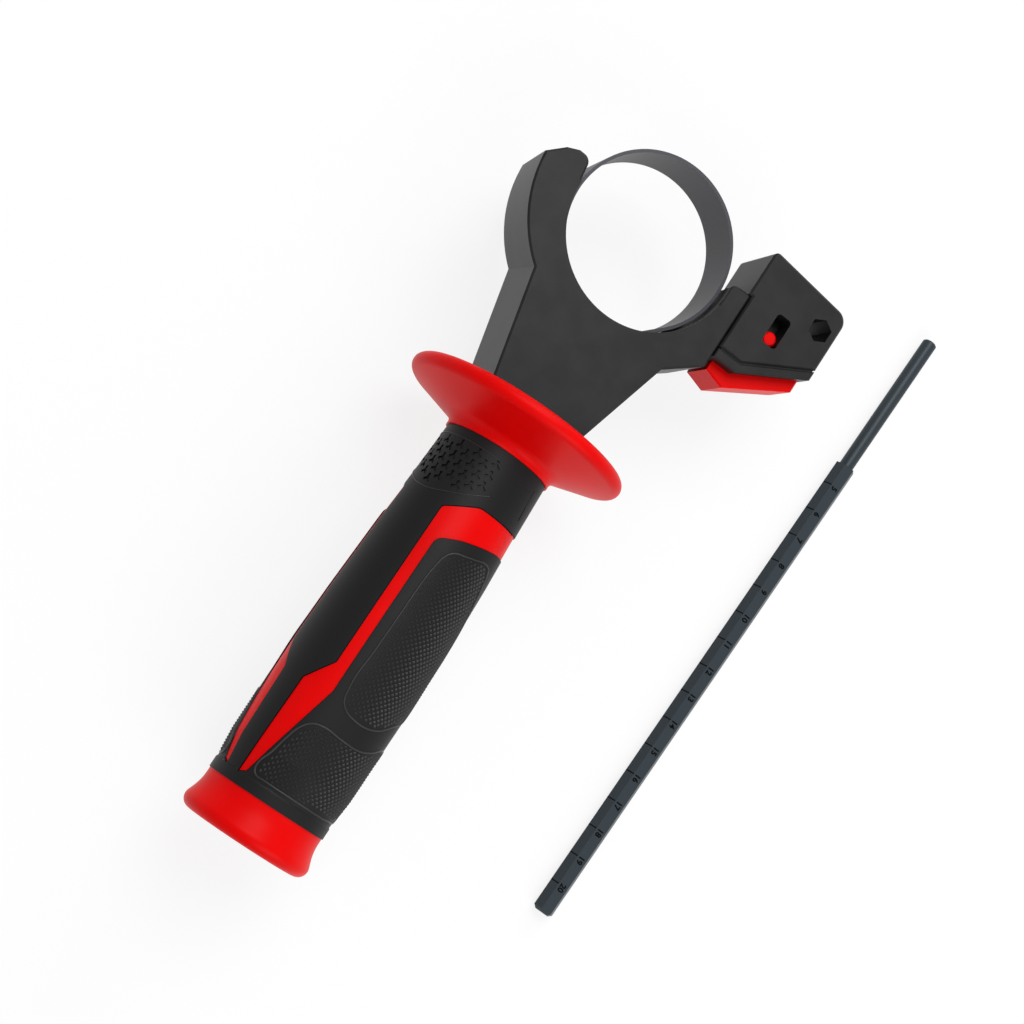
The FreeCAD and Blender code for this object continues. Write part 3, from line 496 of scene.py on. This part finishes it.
def roundNormals(piece):
    # the sleeve's outer face is shaded as the turned form, whatever its triangles
    mesh = piece.data
    only(piece)
    bpy.ops.object.shade_smooth_by_angle(angle=math.radians(gripForm["crease"]))
    normals = [(0.0, 0.0, 0.0)] * len(mesh.loops)
    for face in mesh.polygons:
        middle = face.center
        outward = Vector((middle.x, 0, middle.z)).normalized()
        if face.normal.dot(outward) < gripForm["outerFace"]:
            continue
        rise = (sleeveRadius(middle.y / mm + 1) - sleeveRadius(middle.y / mm - 1)) / 2
        for loop in face.loop_indices:
            place = mesh.vertices[mesh.loops[loop].vertex_index].co
            normal = Vector((place.x, 0, place.z)).normalized() - Vector((0, rise, 0))
            normals[loop] = tuple(normal.normalized())
    mesh.normals_split_custom_set(normals)


def flatWidth(degrees):
    return math.radians(degrees) * gripForm["flatRadius"]


def wrapOnGrip(piece, side):
    # in mm, x is width from the palm's middle, y place along the grip, z height above the sleeve
    palm = math.radians(gripForm["palmAngle"])
    for vertex in piece.data.vertices:
        width, along, height = vertex.co
        angle = palm + side * width / gripForm["flatRadius"]
        reach = sleeveRadius(along) + height
        vertex.co = (reach * math.sin(angle) * mm, along * mm, reach * math.cos(angle) * mm)
    if side < 0:
        editAll(piece)
        bpy.ops.mesh.flip_normals()
        bpy.ops.object.mode_set(mode="OBJECT")
    piece.data.update()


def bothSides(piece):
    # the flat pattern on the right of the palm, and its mirror image on the left
    only(piece)
    bpy.ops.object.duplicate()
    twin = bpy.context.object
    wrapOnGrip(piece, 1)
    wrapOnGrip(twin, -1)
    return joinAll([piece, twin], piece.name)


ridgeSteps = {
    "round": 1,
    "along": 6,          # from one corner to the next
}


def addRidge(name, corners, radius, height, closed):
    # a rounded line of rubber through corners in degrees and mm
    curve = bpy.data.curves.new(name, "CURVE")
    curve.dimensions = "3D"
    curve.bevel_depth = radius
    curve.bevel_resolution = ridgeSteps["round"]
    spline = curve.splines.new("BEZIER")
    spline.bezier_points.add(len(corners) - 1)
    spline.resolution_u = ridgeSteps["along"]
    spline.use_cyclic_u = closed
    for point, (degrees, along) in zip(spline.bezier_points, corners):
        point.co = (flatWidth(degrees), along, height)
        point.handle_left_type = "AUTO"
        point.handle_right_type = "AUTO"
    piece = bpy.data.objects.new(name, curve)
    bpy.context.scene.collection.objects.link(piece)
    only(piece)
    bpy.ops.object.convert(target="MESH")
    return bpy.context.object


# the knurled palm panels, each with a rounded rim
palmPanels = {
    "pitch": 1.75,       # mm; a second grid of pips stands in the gaps of the first
    "pipSides": 4,
    "pipWidth": 1.15,
    "pipHeight": 0.28,
    "pipTop": 0.12,      # radius of its blunt tip
    "pipSunk": 0.06,
    "clear": 0.85,       # from a pip's middle to the panel's edge
    "rimRadius": 0.32,
    "rimHeight": -0.04,
    # corners in degrees from the palm's middle and mm below the ring's centre
    "upper": [(50.5, -153.0), (51.0, -140.0), (51.8, -129.0), (52.4, -119.0), (54.2, -112.4),
              (57.5, -108.4), (63.0, -106.6), (72.0, -105.7), (84.0, -104.6), (96.0, -103.7),
              (106.0, -104.4), (111.5, -108.0), (122.0, -117.0), (134.0, -129.0), (138.0, -144.0),
              (128.0, -151.5), (110.0, -154.6), (92.0, -158.2), (70.0, -159.2), (55.0, -157.4)],
    "lower": [(21.5, -183.0), (26.6, -178.1), (30.9, -172.4), (34.2, -169.0), (40.9, -166.2),
              (50.0, -165.2), (70.0, -165.4), (88.0, -165.3), (102.6, -163.9), (122.0, -161.4),
              (136.0, -163.0), (139.0, -174.0), (134.0, -184.0), (110.0, -185.3), (70.0, -185.5),
              (34.0, -185.5), (24.5, -185.2)],
}


def insideBy(point, corners, clear):
    # whether a point lies inside the corners' outline and at least clear mm from it
    x, y = point
    inside = False
    for (ax, ay), (bx, by) in zip(corners, corners[1:] + corners[:1]):
        if (ay > y) != (by > y) and x < (bx - ax) * (y - ay) / (by - ay) + ax:
            inside = not inside
        length = math.hypot(bx - ax, by - ay)
        share = max(0.0, min(1.0, ((x - ax) * (bx - ax) + (y - ay) * (by - ay)) / length ** 2))
        if math.hypot(x - ax - share * (bx - ax), y - ay - share * (by - ay)) < clear:
            return False
    return inside


def addPips(name, corners):
    # a grid of small pyramids over the panel, without those that reach its edge
    panel = [(flatWidth(degrees), along) for degrees, along in corners]
    left, right = min(x for x, y in panel), max(x for x, y in panel)
    low, high = min(y for x, y in panel), max(y for x, y in panel)
    pitch, sunk = palmPanels["pitch"], palmPanels["pipSunk"]
    tall = palmPanels["pipHeight"] + sunk
    grids = []
    for shift in (0.0, pitch / 2):
        bpy.ops.object.select_all(action="DESELECT")
        bpy.ops.mesh.primitive_cone_add(vertices=palmPanels["pipSides"],
                                        radius1=palmPanels["pipWidth"] / 2,
                                        radius2=palmPanels["pipTop"], depth=tall,
                                        location=(left + shift, low + shift, tall / 2 - sunk))
        grid = bpy.context.object
        bpy.ops.object.transform_apply()
        for way, span, step in (("across", right - left, (pitch, 0, 0)),
                                ("along", high - low, (0, pitch, 0))):
            applyModifier(grid, way, "ARRAY", {
                "count": int(span / pitch) + 1, "use_relative_offset": False,
                "use_constant_offset": True, "constant_offset_displace": step})
        grids.append(grid)
    pips = joinAll(grids, name)
    editAll(pips)
    bpy.ops.mesh.select_mode(type="VERT")
    bpy.ops.mesh.select_all(action="DESELECT")
    bpy.ops.object.mode_set(mode="OBJECT")
    vertices = pips.data.vertices
    size = 2 * palmPanels["pipSides"]  # vertices of one pip
    for first in range(0, len(vertices), size):
        pip = [vertices[i] for i in range(first, first + size)]
        middle = (sum(v.co.x for v in pip) / size, sum(v.co.y for v in pip) / size)
        outside = not insideBy(middle, panel, palmPanels["clear"])
        for vertex in pip:
            vertex.select = outside
    bpy.ops.object.mode_set(mode="EDIT")
    bpy.ops.mesh.delete(type="VERT")
    bpy.ops.object.mode_set(mode="OBJECT")
    return pips


def dressPalm(materials):
    pips = [bothSides(addPips("%sPips" % name, palmPanels[name])) for name in ("upper", "lower")]
    finishPiece(joinAll(pips, "palmPips"), "grip", materials["ridgeRubber"])
    rims = []
    for name in ("upper", "lower"):
        ridge = addRidge(name + "Rim", palmPanels[name], palmPanels["rimRadius"],
                         palmPanels["rimHeight"], True)
        rims.append(bothSides(ridge))
    finishPiece(joinAll(rims, "palmRims"), "grip", materials["ridgeRubber"])


# the three-armed marks and fine lines on the collar of the sleeve, in mm
collarMarks = {
    "armWidth": 0.80,
    "armLength": 1.30,
    "armSpread": 1.25,    # the arms' ends are this much wider than their roots
    "cutDepth": 0.5,
    "stepWidth": 10.4,    # degrees from one column of marks to the next
    "stepAlong": 3.6,
    "firstColumn": 29.5,  # where one column stands, in degrees from the palm's middle
    "columnsBefore": 9,   # the field starts this many columns before it
    "firstRow": -79.9,
    "lastColumn": 60.0,
    # lower edge of the marked field, in degrees from the palm's middle and mm
    "edge": [(0.0, -94.6), (27.6, -92.7), (45.0, -90.4), (61.0, -87.7), (66.0, -80.0)],
    "edgeRoom": 1.7,
    "topLine": [(-52.0, -78.4), (-26.0, -77.9), (0.0, -77.8), (26.0, -77.9), (52.0, -78.4)],
    "lineRadius": 0.16,
    "lineBelow": 0.5,     # the lower line runs this far below the field's edge
    "slotWidth": 0.55,
    "slot": (104.6, 107.6, -78.6, -88.0),  # degrees at its top and foot, then their heights
}


def addForkMark():
    # a triangle with an arm drawn out of each side, cut from flat sheet
    bpy.ops.object.select_all(action="DESELECT")
    width, depth = collarMarks["armWidth"], collarMarks["cutDepth"]
    bpy.ops.mesh.primitive_circle_add(vertices=3, radius=width / math.sqrt(3), fill_type="NGON")
    mark = bpy.context.object
    bpy.ops.object.mode_set(mode="EDIT")
    bpy.ops.mesh.select_mode(type="EDGE")
    for side in range(3):
        outward = math.radians(-90 + 120 * side)
        way = Vector((math.cos(outward), math.sin(outward), 0))
        bpy.ops.mesh.select_all(action="DESELECT")
        bpy.ops.object.mode_set(mode="OBJECT")
        points = mark.data.vertices
        for edge in mark.data.edges:
            # of the triangle's own three sides, the one that faces this way
            middle = (points[edge.vertices[0]].co + points[edge.vertices[1]].co) / 2
            facing = (middle.normalized() - way).length < 0.05
            edge.select = facing and middle.length < width / 2
        bpy.ops.object.mode_set(mode="EDIT")
        reach = way * collarMarks["armLength"]
        bpy.ops.mesh.extrude_edges_move(TRANSFORM_OT_translate={"value": reach})
        bpy.ops.transform.resize(value=(collarMarks["armSpread"],) * 3)
    bpy.ops.mesh.select_all(action="SELECT")
    bpy.ops.transform.rotate(value=math.pi, orient_axis="Z", center_override=(0, 0, 0))
    bpy.ops.mesh.extrude_region_move(TRANSFORM_OT_translate={"value": (0, 0, 2 * depth)})
    bpy.ops.mesh.select_all(action="SELECT")
    bpy.ops.transform.translate(value=(0, 0, -depth))
    bpy.ops.mesh.normals_make_consistent(inside=False)
    bpy.ops.object.mode_set(mode="OBJECT")
    return mark


def edgeAt(degrees):
    edge = collarMarks["edge"]
    for (near, nearY), (far, farY) in zip(edge, edge[1:]):
        if degrees <= far:
            return nearY + (farY - nearY) * (degrees - near) / (far - near)
    return edge[-1][1]


def addMarkField():
    mark = addForkMark()
    cutters = []
    column = 0
    reach = collarMarks["lastColumn"]
    step = collarMarks["stepWidth"]
    first = collarMarks["firstColumn"] - collarMarks["columnsBefore"] * step
    while first + column * step <= reach:
        degrees = first + column * step
        along = collarMarks["firstRow"] - (collarMarks["stepAlong"] / 2 if column % 2 == 0 else 0)
        while abs(degrees) <= reach and along > edgeAt(abs(degrees)) + collarMarks["edgeRoom"]:
            only(mark)
            bpy.ops.object.duplicate()
            copy = bpy.context.object
            bpy.ops.transform.translate(value=(flatWidth(degrees), along, 0))
            bpy.ops.object.transform_apply()
            cutters.append(copy)
            along -= collarMarks["stepAlong"]
        column += 1
    bpy.data.objects.remove(mark)
    field = joinAll(cutters, "markCutters")
    wrapOnGrip(field, 1)
    return field


def addSlotCutter():
    # a slim recess down each side of the collar
    start, end, top, foot = collarMarks["slot"]
    bpy.ops.object.select_all(action="DESELECT")
    bpy.ops.mesh.primitive_cube_add(size=1, location=(0, (top + foot) / 2, 0),
                                    scale=(collarMarks["slotWidth"], top - foot,
                                           2 * collarMarks["cutDepth"]))
    slot = bpy.context.object
    slot.name = "slotCutter"
    bpy.ops.object.transform_apply()
    for vertex in slot.data.vertices:
        vertex.co.x += flatWidth(start if vertex.co.y > (top + foot) / 2 else end)
    return bothSides(slot)


# the elastomer in the joint round the red windows, in mm
seamFill = {
    "below": 0.6,    # mm under the sleeve's face
    "bore": 14.0,
    "reach": (-186.4, -76.0),
    "steps": 96,
}


def addSeamFill(materials):
    # a tube just under the sleeve's face, which shows only in the joint
    low, high = seamFill["reach"]
    heights = [low] + [y for y, r in gripForm["line"] if low < y < high] + [high]
    outer = [(sleeveRadius(y) - seamFill["below"], y) for y in heights]
    bore = seamFill["bore"]
    profile = [(bore, low)] + outer + [(bore, high), (bore, low)]
    piece = spinForm("seamFill", profile, seamFill["steps"])
    finishPiece(piece, "grip", materials["grip_rubber"])


def dressSleeve(materials):
    sleeve = mergedCopy("grip_sleeve", "sleeveCut")
    cutter = joinAll([addMarkField(), addSlotCutter()], "collarCutter")
    applyModifier(sleeve, "marks", "BOOLEAN",
                  {"operation": "DIFFERENCE", "object": cutter, "solver": "EXACT"})
    bpy.data.objects.remove(cutter)
    roundNormals(sleeve)
    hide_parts("grip_sleeve")
    finishPiece(sleeve, "grip", materials["grip_rubber"])
    below, radius = collarMarks["lineBelow"], collarMarks["lineRadius"]
    edge = [(degrees, along - below) for degrees, along in collarMarks["edge"][:-1]]
    lower = [(-degrees, along) for degrees, along in reversed(edge[1:])] + edge
    lines = [addRidge("topLine", collarMarks["topLine"], radius, 0.0, False),
             addRidge("lowerLine", lower, radius, 0.0, False)]
    for line in lines:
        wrapOnGrip(line, 1)
    finishPiece(joinAll(lines, "collarLines"), "grip", materials["ridgeRubber"])


# a thin black pad round the button's peg, seen down the slot, in mm: painted shade laid over the
# button's red web, which lies in shadow there
paintedShadePad = {
    "centre": (45.1, -2.2, 6.15),  # the peg's axis, and the pad's underside
    "hole": 2.25,
    "stretch": (1.95, 2.85),       # the outline is this much wider and longer than the hole
    "shift": 1.9,                  # and this much nearer to the slot's closed end
    "thick": 0.13,
    "corners": 32,
}


def addSlidePad(materials):
    # painted shade: a black sheet over the red web, so that the slot looks dark round the peg
    bpy.ops.object.select_all(action="DESELECT")
    bpy.ops.mesh.primitive_circle_add(vertices=paintedShadePad["corners"], radius=paintedShadePad["hole"],
                                      location=paintedShadePad["centre"])
    pad = bpy.context.object
    pad.name = "paintedShadePad"
    bpy.ops.object.transform_apply()
    bpy.ops.object.mode_set(mode="EDIT")
    bpy.ops.mesh.select_all(action="SELECT")
    bpy.ops.mesh.extrude_edges_move()
    bpy.ops.transform.resize(value=paintedShadePad["stretch"] + (1,), center_override=paintedShadePad["centre"])
    bpy.ops.transform.translate(value=(0, paintedShadePad["shift"], 0))
    bpy.ops.mesh.select_all(action="SELECT")
    bpy.ops.mesh.extrude_region_move(TRANSFORM_OT_translate={"value": (0, 0, paintedShadePad["thick"])})
    bpy.ops.mesh.select_all(action="SELECT")
    bpy.ops.mesh.normals_make_consistent(inside=False)
    bpy.ops.object.mode_set(mode="OBJECT")
    pad.scale = (mm, mm, mm)
    bpy.ops.object.transform_apply(location=False)
    only(pad)
    finishPiece(pad, "button", materials["head_plastic"])


# the rod's printed scale
rodScale = {
    "end": (97.0, -173.28, -31.9),  # the rod's lower end on its axis, mm
    "turn": -2.18,                  # degrees about Z
    "zero": 209.2,                  # where the scale's nought would stand, from the lower end
    "halfFlats": 3.0,               # half the hexagon's width across flats
    "first": 5,
    "last": 20,
    "step": 10.0,                   # mm from one number to the next
    "digitSize": 2.7,
    "digitBold": 0.09,
    "digitAside": -0.2,
    "digitSteps": 3,
    "inkHeight": 0.04,
    "tickWidth": 0.34,
    "tickOffset": 0.7,              # from the number's middle towards the rod's tip
}


def addScale(materials):
    flat = rodScale["halfFlats"]
    corner = flat * 2 / math.sqrt(3)
    marks = []
    for number in range(rodScale["first"], rodScale["last"] + 1):
        along = rodScale["zero"] - rodScale["step"] * number
        bpy.ops.object.select_all(action="DESELECT")
        bpy.ops.object.text_add(location=(0, 0, 0))
        text = bpy.context.object
        text.data.body = str(number)
        text.data.size = rodScale["digitSize"]
        text.data.offset = rodScale["digitBold"]
        text.data.extrude = rodScale["inkHeight"]
        text.data.align_x = "CENTER"
        text.data.align_y = "CENTER"
        text.data.resolution_u = rodScale["digitSteps"]
        bpy.ops.object.convert(target="MESH")
        text = bpy.context.object
        text.location = (rodScale["digitAside"], along, flat)
        text.rotation_euler = (0, 0, math.radians(-90))
        bpy.ops.object.transform_apply()
        marks.append(text)
        bpy.ops.object.select_all(action="DESELECT")
        # the tick lies across the left flat, whose middle is three quarters of the way out
        bpy.ops.mesh.primitive_cube_add(size=1, rotation=(0, math.radians(-60), 0),
                                        location=(-corner * 0.75, along + rodScale["tickOffset"],
                                                  flat / 2),
                                        scale=(corner, rodScale["tickWidth"],
                                               2 * rodScale["inkHeight"]))
        tick = bpy.context.object
        bpy.ops.object.transform_apply()
        marks.append(tick)
    scale = joinAll(marks, "rodScale")
    scale.scale = (mm, mm, mm)
    scale.rotation_euler = (0, 0, math.radians(rodScale["turn"]))
    scale.location = [place * mm for place in rodScale["end"]]
    only(scale)
    bpy.ops.object.transform_apply()
    finishPiece(scale, "head", materials["scaleInk"])


addCamera()
print("camera in place")
materials = makeMaterials()
dressNodes(materials)
print("nodes dressed")
addFlange(materials)
addCap(materials)
print("flange and cap spun")
dressSleeve(materials)
addSeamFill(materials)
print("sleeve cut and lined")
dressPalm(materials)
print("palm panels laid")
# the pad round the peg is painted shade in the button's slot
addSlidePad(materials)
print("slide pad set")
addScale(materials)
print("rod scale printed")
addStudio()
print("studio lit")
